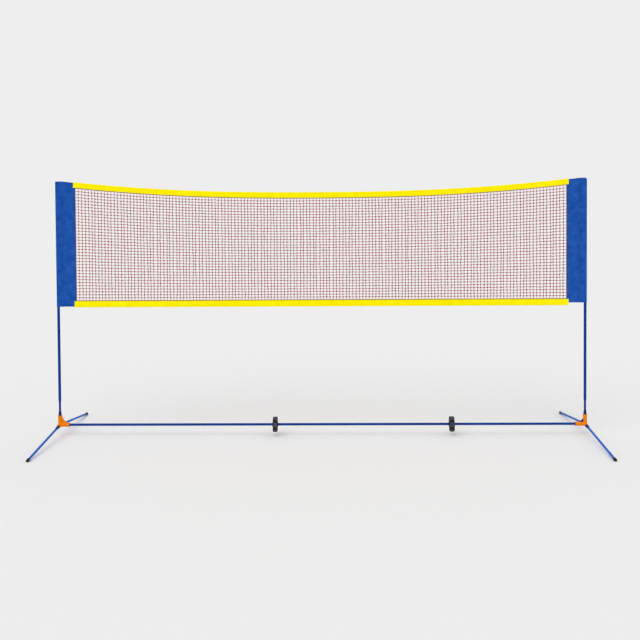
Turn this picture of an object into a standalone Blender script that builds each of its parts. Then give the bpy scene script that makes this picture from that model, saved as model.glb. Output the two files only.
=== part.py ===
"""A free-standing multisport net on two height-adjustable posts, 3.1 m apart.

Metres, +Z up. The origin is on the floor midway between the posts. +X runs along the net, and -Y is
its front. The posts are up at full height and the legs are pushed home in their sockets.
"""

import math

import bmesh
import bpy
from mathutils import Vector

# Overall sizes
POST_REACH = 1.55
NET_TOP = 1.51
BAR_HEIGHT = 0.067
LEG_REACH = 0.515

# Clearances
SEAT_GAP = 0.0003
SLIDE_GAP = 0.0003

# Roundness of turned pieces
ROUND_STEPS = 20
SMOOTH_ANGLE = math.radians(35)

# Base bar, plugged together from equal tubes
BAR_RADIUS = 0.0072
BAR_WALL = 0.0010
BAR_TUBE_COUNT = 4
JOINER_LENGTH = 0.100

# Legs
LEG_RADIUS = 0.0065
LEG_WALL = 0.0011
FOOT_HEIGHT = 0.0074
FERRULE_LENGTH = 0.028
FERRULE_WALL = 0.0022
FERRULE_ROUND = 0.0015

# Rubber foot caps
CAP_LENGTH = 0.020
CAP_WALL = 0.0014
CAP_END = 0.0030
CAP_ROUND = 0.0020

# Posts: a lower tube with a necked foot, and an upper tube that telescopes in it
NECK_RADIUS = 0.0063
NECK_TOP = 0.081
NECK_TAPER = 0.010
UPPER_RADIUS = 0.0058
UPPER_WALL = 0.0009
LOWER_WALL = 0.0010
LOWER_COVER = 0.142
UPPER_OVERLAP = 0.090
POST_FERRULE_LENGTH = 0.024
POST_FERRULE_WALL = 0.0020
POST_FERRULE_RIM = 0.0007
BUSH_SKIRT = 0.020
BUSH_HEAD = 0.006
BUSH_WALL = 0.0006
PLUG_DEPTH = 0.015
PLUG_HEAD = 0.012
TOP_CAP_RIM = 0.0014
TOP_CAP_HEAD = 0.006

# Moulded corner hubs
POST_SOCKET_DEPTH = 0.0460
BAR_SOCKET_DEPTH = 0.0470
LEG_COLLAR_REACH = 0.032
POST_SOCKET_WALL = 0.0050
BAR_SOCKET_WALL = 0.0043
LEG_COLLAR_WALL = 0.0040
SEAT_WALL = 0.003
LIP_LENGTH = 0.005
LIP_HEIGHT = 0.0008
HUB_CORE_RADIUS = 0.0132
HUB_CORE_DROP = 0.0106
WEB_THICKNESS = 0.008
WEB_HEIGHT = 0.050
WEB_HOLLOW = 2.2
WEB_STEPS = 8
WEDGE_REACH = 0.020
WEDGE_HEIGHT = 0.018
WEDGE_TIP = 0.0025

# Star discs, each turning on a sleeve that slides along the bar
DISC_PLACES = {"left": -0.271, "right": 0.770}
DISC_RADIUS = 0.0450
DISC_NOTCH = 0.0080
DISC_THICKNESS = 0.026
DISC_LOBES = 6
DISC_LOBE_TILT = math.radians(7)
DISC_NOTCH_SHARPNESS = 4
DISC_OUTLINE_POINTS = 72
DISC_EDGE = 0.0030
DISC_SLEEVE_WALL = 0.0032
DISC_FLANGE_HEIGHT = 0.0016
DISC_FLANGE_LENGTH = 0.0045

# Fabric sleeves that hang over the post tops
SLEEVE_WIDTH = 0.107
SLEEVE_RISES = {"left": 0.005, "right": 0.016}
SLEEVE_SEAM = 0.028
SLEEVE_ROOF = 0.006
SLEEVE_CORNER = 0.008
SLEEVE_SLOPE_START = 0.030
SLEEVE_ARC_POINTS = 6
CLOTH = 0.0010
POCKET_EASE = 0.0003

# Net and its two folded tapes
NET_THICKNESS = 0.0024
NET_STRAND = 0.0030
NET_COLUMNS = 30
NET_ROWS = 10
NET_DROP = 0.745
TAPE_CLOTH = 0.0010
TOP_TAPE_DROP = 0.004
TOP_TAPE_HEIGHT = 0.033
TOP_SAG = 0.069
SAG_POWER = 2.4
BOTTOM_TAPE_HEIGHT = 0.037
TAPE_LAP = 0.010
TAPE_STATIONS = 36
HEAD_CORD_RADIUS = 0.0011

# Sides and ends
SIDES = {"left": -1, "right": 1}
ENDS = {"front": -1, "back": 1}
ALONG_X = (0.0, math.pi / 2, 0.0)

# Worked out from the sizes above
BUSH_BORE = UPPER_RADIUS + SLIDE_GAP
LOWER_BORE = BUSH_BORE + BUSH_WALL + SEAT_GAP
LOWER_RADIUS = LOWER_BORE + LOWER_WALL
POST_BORE = NECK_RADIUS + SEAT_GAP
BAR_BORE = BAR_RADIUS + SEAT_GAP
LEG_BORE = LEG_RADIUS + SEAT_GAP
HUB_SEAT = LEG_BORE + SEAT_WALL
LEG_SEAT = SEAT_WALL / 2
POST_MOUTH = HUB_SEAT + POST_SOCKET_DEPTH
BAR_MOUTH = HUB_SEAT + BAR_SOCKET_DEPTH
LEG_SLOPE = math.atan2(BAR_HEIGHT - FOOT_HEIGHT, LEG_REACH)
LEG_LENGTH = math.hypot(BAR_HEIGHT - FOOT_HEIGHT, LEG_REACH)
POCKET_RADIUS = LOWER_RADIUS + POCKET_EASE
SLEEVE_RADIUS = POCKET_RADIUS + CLOTH
UPPER_TOP = NET_TOP - SLEEVE_ROOF - SEAT_GAP - TOP_CAP_HEAD - SEAT_GAP
TOP_TAPE_EDGE = NET_TOP - TOP_TAPE_DROP
BOTTOM_TAPE_EDGE = NET_TOP - NET_DROP
LOWER_TOP = BOTTOM_TAPE_EDGE + LOWER_COVER
UPPER_FOOT = LOWER_TOP - UPPER_OVERLAP
NET_HALF = POST_REACH - SLEEVE_WIDTH - SEAT_GAP
TAPE_HALF = POST_REACH - SLEEVE_WIDTH + TAPE_LAP
TAPE_FOLD = NET_THICKNESS / 2 + SEAT_GAP + TAPE_CLOTH / 2
CORD_DROP = TAPE_CLOTH + SEAT_GAP + HEAD_CORD_RADIUS
FOLD_DEPTH = CORD_DROP + HEAD_CORD_RADIUS + SEAT_GAP


def new_collection(name):
    collection = bpy.data.collections.new(name)
    bpy.context.scene.collection.children.link(collection)
    return collection


def srgb(red, green, blue):
    """A linear colour with full alpha from 8-bit values."""
    linear = []
    for value in (red, green, blue):
        share = value / 255
        linear.append(share / 12.92 if share <= 0.04045 else ((share + 0.055) / 1.055) ** 2.4)
    return (*linear, 1.0)


def principled(name, colour, roughness, metallic=0.0):
    material = bpy.data.materials.new(name)
    material.use_nodes = True
    shader = material.node_tree.nodes["Principled BSDF"]
    shader.inputs["Base Color"].default_value = colour
    shader.inputs["Roughness"].default_value = roughness
    shader.inputs["Metallic"].default_value = metallic
    return material


def add_object(name, mesh, collection):
    obj = bpy.data.objects.new(name, mesh)
    collection.objects.link(obj)
    return obj


def remove_object(obj):
    data = obj.data
    bpy.data.objects.remove(obj)
    if isinstance(data, bpy.types.Mesh):
        bpy.data.meshes.remove(data)
    elif isinstance(data, bpy.types.Curve):
        bpy.data.curves.remove(data)


def evaluated_mesh(obj):
    """A new mesh of the object with its modifiers, welded at its loose seams."""
    bpy.context.view_layer.update()
    depsgraph = bpy.context.evaluated_depsgraph_get()
    mesh = bpy.data.meshes.new_from_object(obj.evaluated_get(depsgraph))
    shape = bmesh.new()
    shape.from_mesh(mesh)
    bmesh.ops.remove_doubles(shape, verts=shape.verts, dist=1e-6)
    shape.to_mesh(mesh)
    shape.free()
    return mesh


def bake(obj):
    """Keeps the evaluated shape as the object's own mesh, smooth with sharp corners."""
    mesh = evaluated_mesh(obj)
    if obj.type == "CURVE":
        solid = bpy.data.objects.new("baked", mesh)
        obj.users_collection[0].objects.link(solid)
        solid.matrix_world = obj.matrix_world
        name = obj.name
        remove_object(obj)
        solid.name = name
    else:
        old = obj.data
        obj.modifiers.clear()
        obj.data = mesh
        bpy.data.meshes.remove(old)
        solid = obj
    mesh.shade_smooth()
    mesh.set_sharp_from_angle(angle=SMOOTH_ANGLE)
    return solid


def as_cutter(obj):
    obj.hide_render = True
    obj.display_type = "WIRE"
    for collection in list(obj.users_collection):
        collection.objects.unlink(obj)
    cutters.objects.link(obj)
    return obj


def combine(obj, operation, others):
    """Joins, cuts or crops the object with the others, which are used up."""
    for other in others:
        modifier = obj.modifiers.new(operation.lower(), "BOOLEAN")
        modifier.operation = operation
        modifier.object = as_cutter(other)
    solid = bake(obj)
    for other in others:
        remove_object(other)
    return solid


def turned(name, profile, location=(0, 0, 0), rotation=(0, 0, 0)):
    """A turned solid about local Z. Its profile runs down the outer side, then up the bore."""
    mesh = bpy.data.meshes.new(name)
    points = [(radius, 0, height) for radius, height in profile]
    edges = [(i, i + 1) for i in range(len(points) - 1)]
    if profile[0][0] > 0:
        edges.append((len(points) - 1, 0))
    mesh.from_pydata(points, edges, [])
    obj = add_object(name, mesh, parts)
    obj.location = location
    obj.rotation_euler = rotation
    screw = obj.modifiers.new("turn", "SCREW")
    screw.axis = "Z"
    screw.steps = ROUND_STEPS
    screw.render_steps = ROUND_STEPS
    screw.use_merge_vertices = True
    screw.merge_threshold = 1e-6
    return bake(obj)


def rod(name, radius, low, high, location=(0, 0, 0), rotation=(0, 0, 0)):
    return turned(name, [(0, high), (radius, high), (radius, low), (0, low)], location, rotation)


def tube(name, radius, bore, low, high, location=(0, 0, 0), rotation=(0, 0, 0)):
    profile = [(radius, high), (radius, low), (bore, low), (bore, high)]
    return turned(name, profile, location, rotation)


def flat_outline(name, points, thickness, location=(0, 0, 0), rotation=(0, 0, 0)):
    """A flat plate from an outline in local XY, centred on its plane."""
    curve = bpy.data.curves.new(name, "CURVE")
    curve.dimensions = "2D"
    curve.fill_mode = "BOTH"
    curve.extrude = thickness / 2
    spline = curve.splines.new("POLY")
    spline.points.add(len(points) - 1)
    for target, (x, y) in zip(spline.points, points):
        target.co = (x, y, 0, 1)
    spline.use_cyclic_u = True
    obj = add_object(name, curve, parts)
    obj.location = location
    obj.rotation_euler = rotation
    return bake(obj)


def box(name, size, centre):
    mesh = bpy.data.meshes.new(name)
    shape = bmesh.new()
    bmesh.ops.create_cube(shape, size=1.0)
    bmesh.ops.scale(shape, vec=size, verts=shape.verts)
    shape.to_mesh(mesh)
    shape.free()
    obj = add_object(name, mesh, parts)
    obj.location = centre
    return obj


def paint(obj, material):
    obj.data.materials.clear()
    obj.data.materials.append(material)
    return obj


def joint_empty(name, location, rotation=(0, 0, 0)):
    """The origin of a moving group, on the axis of its joint."""
    empty = add_object(name, None, parts)
    empty.location = location
    empty.rotation_euler = rotation
    empty.empty_display_size = 0.05
    return empty


def attach(obj, empty):
    """Parents a piece to an empty and leaves it where it is."""
    bpy.context.view_layer.update()
    obj.parent = empty
    obj.matrix_parent_inverse = empty.matrix_world.inverted()
    return obj


def leg_rotation(end):
    """Turns local +Z to point out along a leg, down to the floor."""
    return (-ENDS[end] * (math.pi / 2 + LEG_SLOPE), 0.0, 0.0)


def hub_centre(side):
    return (SIDES[side] * POST_REACH, 0.0, BAR_HEIGHT)


def inward(side):
    """Turns local +Z to point from a hub along the bar."""
    return (0.0, -SIDES[side] * math.pi / 2, 0.0)


def socket(name, outer, back, mouth, location, rotation):
    """A round socket with a raised lip at its mouth, still without its bore."""
    profile = [
        (0, mouth),
        (outer + LIP_HEIGHT, mouth),
        (outer + LIP_HEIGHT, mouth - LIP_LENGTH),
        (outer, mouth - LIP_LENGTH - LIP_HEIGHT),
        (outer, back),
        (0, back),
    ]
    return turned(name, profile, location, rotation)


def corner_plate(name, side, corner, far, shelf, crest, high):
    """A plate in the corner between post socket and bar socket, with a hollow curved edge."""
    near, low = corner
    points = [corner, (far, low)]
    for step in range(WEB_STEPS + 1):
        share = step / WEB_STEPS
        x = far - (far - crest) * share
        z = shelf + (high - shelf) * share ** WEB_HOLLOW
        points.append((x, z))
    points.append((near, high))
    turn = 0.0 if side == "left" else math.pi
    return flat_outline(name, points, WEB_THICKNESS, hub_centre(side), (math.pi / 2, 0.0, turn))


def hub_web(side):
    corner = (POST_BORE + POST_SOCKET_WALL / 2, BAR_BORE + BAR_SOCKET_WALL / 2)
    far = BAR_MOUTH - LIP_LENGTH
    shelf = BAR_BORE + BAR_SOCKET_WALL
    crest = POST_BORE + POST_SOCKET_WALL
    return corner_plate("web", side, corner, far, shelf, crest, WEB_HEIGHT)


def build_wedge(side, material):
    """A loose wedge pushed into the corner of a hub that has no web."""
    near = POST_BORE + POST_SOCKET_WALL + SEAT_GAP
    low = BAR_BORE + BAR_SOCKET_WALL + SEAT_GAP
    far = near + WEDGE_REACH
    high = low + WEDGE_HEIGHT
    shelf = low + WEDGE_TIP
    crest = near + WEDGE_TIP
    wedge = corner_plate("corner_wedge_" + side, side, (near, low), far, shelf, crest, high)
    return paint(wedge, material)


def build_hub(side, material):
    """One moulding with sockets for a post, the bar and two legs."""
    centre = hub_centre(side)
    overshoot = LIP_LENGTH
    body = socket(
        "hub_" + side,
        POST_BORE + POST_SOCKET_WALL,
        -LEG_BORE,
        POST_MOUTH,
        centre,
        (0, 0, 0),
    )
    added = [
        socket("bar_socket", BAR_BORE + BAR_SOCKET_WALL, -LEG_BORE, BAR_MOUTH, centre, inward(side)),
        rod("core", HUB_CORE_RADIUS, -HUB_CORE_DROP, HUB_CORE_DROP, centre),
    ]
    cuts = [
        rod("post_bore", POST_BORE, HUB_SEAT, POST_MOUTH + overshoot, centre),
        rod("bar_bore", BAR_BORE, HUB_SEAT, BAR_MOUTH + overshoot, centre, inward(side)),
    ]
    for end in ENDS:
        turn = leg_rotation(end)
        collar = LEG_BORE + LEG_COLLAR_WALL
        added.append(rod("collar", collar, -LEG_SEAT, LEG_COLLAR_REACH, centre, turn))
        cuts.append(rod("leg_bore", LEG_BORE, LEG_SEAT, LEG_COLLAR_REACH + overshoot, centre, turn))
    if side == "left":
        added.append(hub_web(side))
    combine(body, "UNION", added)
    combine(body, "DIFFERENCE", cuts)
    return paint(body, material)


def build_bar(material, joiner_material):
    """Equal tubes end to end between the hubs, with a plug inside each joint."""
    start = -POST_REACH + HUB_SEAT + SEAT_GAP
    run = -2 * start
    length = (run - SEAT_GAP * (BAR_TUBE_COUNT - 1)) / BAR_TUBE_COUNT
    for index in range(BAR_TUBE_COUNT):
        low = start + index * (length + SEAT_GAP)
        place = (low, 0.0, BAR_HEIGHT)
        name = f"bar_tube_{index + 1}"
        paint(tube(name, BAR_RADIUS, BAR_RADIUS - BAR_WALL, 0.0, length, place, ALONG_X), material)
        if index > 0:
            half = JOINER_LENGTH / 2
            radius = BAR_RADIUS - BAR_WALL - SEAT_GAP
            place = (low - SEAT_GAP / 2, 0.0, BAR_HEIGHT)
            plug = rod(f"bar_joiner_{index}", radius, -half, half, place, ALONG_X)
            paint(plug, joiner_material)


def build_leg(side, end, tube_material, ferrule_material, cap_material):
    """A leg tube with its ferrule and foot cap, on an empty that slides along the leg."""
    centre = hub_centre(side)
    turn = leg_rotation(end)
    tag = f"{end}_{side}"
    empty = joint_empty("leg_" + tag, centre, turn)
    tube_end = LEG_LENGTH - CAP_END - SEAT_GAP
    inner = LEG_RADIUS - LEG_WALL
    leg = tube("leg_tube_" + tag, LEG_RADIUS, inner, LEG_SEAT + SEAT_GAP, tube_end, centre, turn)
    attach(paint(leg, tube_material), empty)

    low = LEG_COLLAR_REACH + SEAT_GAP
    high = low + FERRULE_LENGTH
    bore = LEG_RADIUS + SEAT_GAP
    outer = bore + FERRULE_WALL
    profile = [
        (outer - FERRULE_ROUND, high),
        (outer, high - FERRULE_ROUND),
        (outer, low + FERRULE_ROUND),
        (outer - FERRULE_ROUND, low),
        (bore, low),
        (bore, high),
    ]
    ferrule = turned("leg_ferrule_" + tag, profile, centre, turn)
    attach(paint(ferrule, ferrule_material), empty)

    outer = bore + CAP_WALL
    profile = [
        (0, LEG_LENGTH),
        (outer - CAP_ROUND, LEG_LENGTH),
        (outer, LEG_LENGTH - CAP_ROUND),
        (outer, LEG_LENGTH - CAP_LENGTH),
        (bore, LEG_LENGTH - CAP_LENGTH),
        (bore, LEG_LENGTH - CAP_END),
        (0, LEG_LENGTH - CAP_END),
    ]
    cap = turned("foot_cap_" + tag, profile, centre, turn)
    floor_size = (4 * outer, 3 * CAP_LENGTH, 2 * outer)
    floor_centre = (centre[0], ENDS[end] * LEG_REACH, -outer)
    combine(cap, "DIFFERENCE", [box("floor", floor_size, floor_centre)])
    attach(paint(cap, cap_material), empty)


def build_post(side, tube_material, ferrule_material, plastic):
    """The fixed lower tube with its ferrule and bush, and the upper tube that slides in it."""
    x = SIDES[side] * POST_REACH
    foot = BAR_HEIGHT + HUB_SEAT + SEAT_GAP
    neck_top = BAR_HEIGHT + POST_MOUTH + NECK_TOP
    shoulder = neck_top + NECK_TAPER
    neck_bore = NECK_RADIUS - LOWER_WALL
    profile = [
        (LOWER_RADIUS, LOWER_TOP),
        (LOWER_RADIUS, shoulder),
        (NECK_RADIUS, neck_top),
        (NECK_RADIUS, foot),
        (neck_bore, foot),
        (neck_bore, neck_top),
        (LOWER_BORE, shoulder),
        (LOWER_BORE, LOWER_TOP),
    ]
    paint(turned("post_lower_" + side, profile, (x, 0, 0)), tube_material)

    low = BAR_HEIGHT + POST_MOUTH + SEAT_GAP
    high = low + POST_FERRULE_LENGTH
    bore = NECK_RADIUS + SEAT_GAP
    outer = bore + POST_FERRULE_WALL
    profile = [
        (bore + POST_FERRULE_RIM, high),
        (outer, (low + high) / 2),
        (outer, low),
        (bore, low),
        (bore, high),
    ]
    paint(turned("post_ferrule_" + side, profile, (x, 0, 0)), ferrule_material)

    skirt = BUSH_BORE + BUSH_WALL
    profile = [
        (LOWER_RADIUS, LOWER_TOP + BUSH_HEAD),
        (LOWER_RADIUS, LOWER_TOP + SEAT_GAP),
        (skirt, LOWER_TOP + SEAT_GAP),
        (skirt, LOWER_TOP - BUSH_SKIRT),
        (BUSH_BORE, LOWER_TOP - BUSH_SKIRT),
        (BUSH_BORE, LOWER_TOP + BUSH_HEAD),
    ]
    paint(turned("post_bush_" + side, profile, (x, 0, 0)), plastic)

    empty = joint_empty("post_" + side, (x, 0, LOWER_TOP))
    inner = UPPER_RADIUS - UPPER_WALL
    upper = tube("post_upper_" + side, UPPER_RADIUS, inner, UPPER_FOOT, UPPER_TOP, (x, 0, 0))
    attach(paint(upper, tube_material), empty)

    plug_radius = inner - SEAT_GAP
    guide = LOWER_BORE - SLIDE_GAP
    seat = UPPER_FOOT - SEAT_GAP
    profile = [
        (0, seat + PLUG_DEPTH),
        (plug_radius, seat + PLUG_DEPTH),
        (plug_radius, seat),
        (guide, seat),
        (guide, seat - PLUG_HEAD),
        (0, seat - PLUG_HEAD),
    ]
    attach(paint(turned("post_plug_" + side, profile, (x, 0, 0)), plastic), empty)

    seat = UPPER_TOP + SEAT_GAP
    rim = UPPER_RADIUS + TOP_CAP_RIM
    profile = [
        (0, seat + TOP_CAP_HEAD),
        (UPPER_RADIUS, seat + TOP_CAP_HEAD),
        (rim, seat + TOP_CAP_HEAD - TOP_CAP_RIM),
        (rim, seat),
        (plug_radius, seat),
        (plug_radius, seat - PLUG_DEPTH),
        (0, seat - PLUG_DEPTH),
    ]
    attach(paint(turned("post_cap_" + side, profile, (x, 0, 0)), plastic), empty)


def build_disc(side, sleeve_material, disc_material):
    """A six-lobed disc that spins on a flanged sleeve, which slides along the bar."""
    centre = (DISC_PLACES[side], 0.0, BAR_HEIGHT)
    bore = BAR_RADIUS + SLIDE_GAP
    barrel = bore + DISC_SLEEVE_WALL
    flange = barrel + SLIDE_GAP + DISC_FLANGE_HEIGHT
    half = DISC_THICKNESS / 2 + SEAT_GAP
    end = half + DISC_FLANGE_LENGTH
    slope = DISC_FLANGE_LENGTH / 2
    profile = [
        (barrel, end),
        (flange, end - slope),
        (flange, half),
        (barrel, half),
        (barrel, -half),
        (flange, -half),
        (flange, slope - end),
        (barrel, -end),
        (bore, -end),
        (bore, end),
    ]
    empty = joint_empty("disc_slide_" + side, centre, ALONG_X)
    sleeve = turned("disc_sleeve_" + side, profile, centre, ALONG_X)
    attach(paint(sleeve, sleeve_material), empty)

    points = []
    for step in range(DISC_OUTLINE_POINTS):
        angle = 2 * math.pi * step / DISC_OUTLINE_POINTS
        from_lobe = angle + math.pi / 2 + DISC_LOBE_TILT
        notch = (0.5 - 0.5 * math.cos(DISC_LOBES * from_lobe)) ** DISC_NOTCH_SHARPNESS
        radius = DISC_RADIUS - DISC_NOTCH * notch
        points.append((radius * math.cos(angle), radius * math.sin(angle)))
    disc = flat_outline("star_disc_" + side, points, DISC_THICKNESS, centre, ALONG_X)
    bevel = disc.modifiers.new("edge", "BEVEL")
    bevel.width = DISC_EDGE
    bevel.segments = 1
    bevel.limit_method = "ANGLE"
    bevel.angle_limit = math.radians(60)
    hole = rod("disc_bore", barrel + SLIDE_GAP, -DISC_THICKNESS, DISC_THICKNESS, centre, ALONG_X)
    combine(disc, "DIFFERENCE", [hole])
    attach(paint(disc, disc_material), joint_empty("disc_spin_" + side, centre, ALONG_X))


def sag(x):
    """How far the top tape hangs below its ends. It is straight between its stations."""
    half_count = TAPE_STATIONS // 2
    station = min(half_count - 1, int(abs(x) / TAPE_HALF * half_count))
    share = abs(x) / TAPE_HALF * half_count - station
    near = 1 - (station / half_count) ** SAG_POWER
    far = 1 - ((station + 1) / half_count) ** SAG_POWER
    return TOP_SAG * (near + (far - near) * share)


def sleeve_section():
    """The sleeve's plan: round over the post, then drawn in to a flat double panel."""
    half = NET_THICKNESS / 2
    seam = Vector((SLEEVE_SEAM, half))
    tangent = math.atan2(half, SLEEVE_SEAM) + math.acos(SLEEVE_RADIUS / seam.length)
    steps = ROUND_STEPS - 4
    points = []
    for step in range(steps + 1):
        angle = tangent + (2 * math.pi - 2 * tangent) * step / steps
        points.append((SLEEVE_RADIUS * math.cos(angle), SLEEVE_RADIUS * math.sin(angle)))
    points += [(SLEEVE_SEAM, -half), (SLEEVE_WIDTH, -half), (SLEEVE_WIDTH, half), (SLEEVE_SEAM, half)]
    return points


def sleeve_elevation(bottom):
    """The sleeve from the front: a rounded outer corner, and a top that falls to the tape."""
    margin = SLEEVE_CORNER
    lap_start = SLEEVE_WIDTH - TAPE_LAP - SEAT_GAP
    lap_top = TOP_TAPE_EDGE - FOLD_DEPTH
    inner = SLEEVE_WIDTH + margin
    points = [
        (-SLEEVE_RADIUS - SEAT_GAP, bottom),
        (inner, bottom),
        (inner, lap_top - sag(POST_REACH - inner)),
        (lap_start, lap_top),
        (SLEEVE_SLOPE_START, NET_TOP),
    ]
    for step in range(SLEEVE_ARC_POINTS + 1):
        angle = math.pi / 2 + math.pi / 2 * step / SLEEVE_ARC_POINTS
        x = -SLEEVE_RADIUS - SEAT_GAP + SLEEVE_CORNER * (1 + math.cos(angle))
        z = NET_TOP - SLEEVE_CORNER * (1 - math.sin(angle))
        points.append((x, z))
    return points


def build_sleeve(side, material, empty):
    """A pocket over the post top with a flat panel that the net is sewn to."""
    bottom = BOTTOM_TAPE_EDGE + SLEEVE_RISES[side]
    middle = (bottom + NET_TOP) / 2
    height = NET_TOP - bottom
    x = SIDES[side] * POST_REACH
    turn = 0.0 if side == "left" else math.pi
    margin = SLEEVE_CORNER
    name = "sleeve_" + side
    panel = flat_outline(name, sleeve_section(), height + margin, (x, 0, middle), (0, 0, turn))
    upright = (math.pi / 2, 0, turn)
    crop = flat_outline("crop", sleeve_elevation(bottom), 4 * SLEEVE_RADIUS, (x, 0, 0), upright)
    combine(panel, "INTERSECT", [crop])
    roof = NET_TOP - SLEEVE_ROOF
    pocket = rod("pocket", POCKET_RADIUS, bottom - margin, roof, (x, 0, 0))
    combine(panel, "DIFFERENCE", [pocket])
    return attach(paint(panel, material), empty)


def grid_object(name, columns, rows, place, keep=None):
    """An open sheet of quads whose corners place(column, row) gives."""
    corners = [place(column, row) for row in range(rows + 1) for column in range(columns + 1)]
    faces = []
    for row in range(rows):
        for column in range(columns):
            if keep is None or keep(column, row):
                first = row * (columns + 1) + column
                above = first + columns + 1
                faces.append((first, first + 1, above + 1, above))
    mesh = bpy.data.meshes.new(name)
    mesh.from_pydata(corners, [], faces)
    return add_object(name, mesh, parts)


def solidify(obj, thickness):
    modifier = obj.modifiers.new("cloth", "SOLIDIFY")
    modifier.thickness = thickness
    modifier.offset = 0.0
    modifier.use_even_offset = True
    return bake(obj)


def build_net(material, empty):
    """One flat mesh of strands, its top edge hanging in the same curve as the tape."""
    low = BOTTOM_TAPE_EDGE + TAPE_CLOTH + SEAT_GAP
    pitch = 2 * NET_HALF / NET_COLUMNS

    def edge_x(column):
        strand, side = divmod(column, 2)
        if strand == 0:
            return -NET_HALF + side * NET_STRAND
        if strand == NET_COLUMNS:
            return NET_HALF - (1 - side) * NET_STRAND
        return -NET_HALF + strand * pitch + (side - 0.5) * NET_STRAND

    def place(column, row):
        x = edge_x(column)
        high = TOP_TAPE_EDGE - FOLD_DEPTH - sag(x)
        strand, side = divmod(row, 2)
        span = high - low - NET_STRAND
        z = low + span * strand / NET_ROWS + side * NET_STRAND
        return Vector((x, 0.0, z))

    def keep(column, row):
        return column % 2 == 0 or row % 2 == 0

    net = grid_object("net_mesh", 2 * NET_COLUMNS + 1, 2 * NET_ROWS + 1, place, keep)
    return attach(paint(solidify(net, NET_THICKNESS), material), empty)


def build_tape(name, edge, height, droop, material, empty):
    """A tape folded over an edge of the net. A negative height folds it up from below."""
    cloth = TAPE_CLOTH / 2 if height > 0 else -TAPE_CLOTH / 2
    fold = [
        (-TAPE_FOLD, edge - height),
        (-TAPE_FOLD, edge - cloth),
        (TAPE_FOLD, edge - cloth),
        (TAPE_FOLD, edge - height),
    ]

    def place(column, row):
        x = -TAPE_HALF + 2 * TAPE_HALF * column / TAPE_STATIONS
        y, z = fold[row]
        return Vector((x, y, z - droop(x)))

    tape = grid_object(name, TAPE_STATIONS, len(fold) - 1, place)
    return attach(paint(solidify(tape, TAPE_CLOTH), material), empty)


def build_head_cord(material, empty):
    """The cord in the fold of the top tape, which carries the net from sleeve to sleeve."""
    curve = bpy.data.curves.new("head_cord", "CURVE")
    curve.dimensions = "3D"
    curve.bevel_depth = HEAD_CORD_RADIUS
    curve.bevel_resolution = 2
    curve.use_fill_caps = True
    spline = curve.splines.new("POLY")
    spline.points.add(TAPE_STATIONS)
    for step, point in enumerate(spline.points):
        x = -TAPE_HALF + 2 * TAPE_HALF * step / TAPE_STATIONS
        point.co = (x, 0.0, TOP_TAPE_EDGE - CORD_DROP - sag(x), 1)
    cord = bake(add_object("head_cord", curve, parts))
    return attach(paint(cord, material), empty)


def build_model():
    orange = principled("orange_moulding", srgb(242, 133, 7), 0.42)
    navy = principled("navy_paint", srgb(8, 57, 138), 0.35)
    blue = principled("leg_paint", srgb(28, 81, 166), 0.35)
    dark_navy = principled("ferrule_plastic", srgb(11, 44, 109), 0.45)
    black = principled("black_plastic", srgb(38, 40, 47), 0.50)
    rubber = principled("cap_rubber", srgb(31, 32, 40), 0.75)
    disc_rubber = principled("disc_rubber", srgb(62, 60, 68), 0.70)
    yellow = principled("tape_fabric", srgb(253, 240, 4), 0.85)
    sleeve_blue = principled("sleeve_fabric", srgb(28, 81, 166), 0.85)
    maroon = principled("net_cord", srgb(143, 59, 57), 0.85)

    build_bar(navy, black)
    build_wedge("right", dark_navy)
    for side in SIDES:
        build_hub(side, orange)
        build_post(side, navy, dark_navy, black)
        build_disc(side, dark_navy, disc_rubber)
        for end in ENDS:
            build_leg(side, end, blue, dark_navy, rubber)

    net_empty = joint_empty("net_lift", (-POST_REACH, 0, NET_TOP - SLEEVE_ROOF))
    for side in SIDES:
        build_sleeve(side, sleeve_blue, net_empty)
    build_net(maroon, net_empty)
    build_tape("top_tape", TOP_TAPE_EDGE, TOP_TAPE_HEIGHT, sag, yellow, net_empty)
    build_tape("bottom_tape", BOTTOM_TAPE_EDGE, -BOTTOM_TAPE_HEIGHT, lambda x: 0.0, yellow, net_empty)
    build_head_cord(sleeve_blue, net_empty)


for existing in list(bpy.data.objects):
    bpy.data.objects.remove(existing)
parts = new_collection("multisport_net")
cutters = new_collection("cutters")
build_model()
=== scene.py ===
import itertools
import math

import bmesh
import bpy
import numpy as np
from mathutils import Matrix, Vector, noise


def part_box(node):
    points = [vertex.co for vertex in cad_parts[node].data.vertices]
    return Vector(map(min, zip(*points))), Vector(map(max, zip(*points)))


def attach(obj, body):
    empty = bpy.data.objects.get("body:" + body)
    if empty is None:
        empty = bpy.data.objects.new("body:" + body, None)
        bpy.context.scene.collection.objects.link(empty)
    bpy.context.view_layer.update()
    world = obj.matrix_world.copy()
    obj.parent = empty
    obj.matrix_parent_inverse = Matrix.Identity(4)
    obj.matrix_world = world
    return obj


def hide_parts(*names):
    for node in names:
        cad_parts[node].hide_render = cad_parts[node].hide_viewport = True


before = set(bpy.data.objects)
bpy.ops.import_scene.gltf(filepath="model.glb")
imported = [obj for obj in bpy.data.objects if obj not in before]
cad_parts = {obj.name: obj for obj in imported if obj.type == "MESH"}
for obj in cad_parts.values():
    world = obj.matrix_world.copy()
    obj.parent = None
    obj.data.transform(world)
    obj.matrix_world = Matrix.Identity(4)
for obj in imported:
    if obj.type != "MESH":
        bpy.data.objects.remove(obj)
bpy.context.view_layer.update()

# Sizes in metres. Those of hard parts that the CAD model has too are the same there.
POST_X = 1.55
NET_TOP = 1.51
BAR_HEIGHT = 0.067
LEG_REACH = 0.515
GAP = 0.0003

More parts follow.
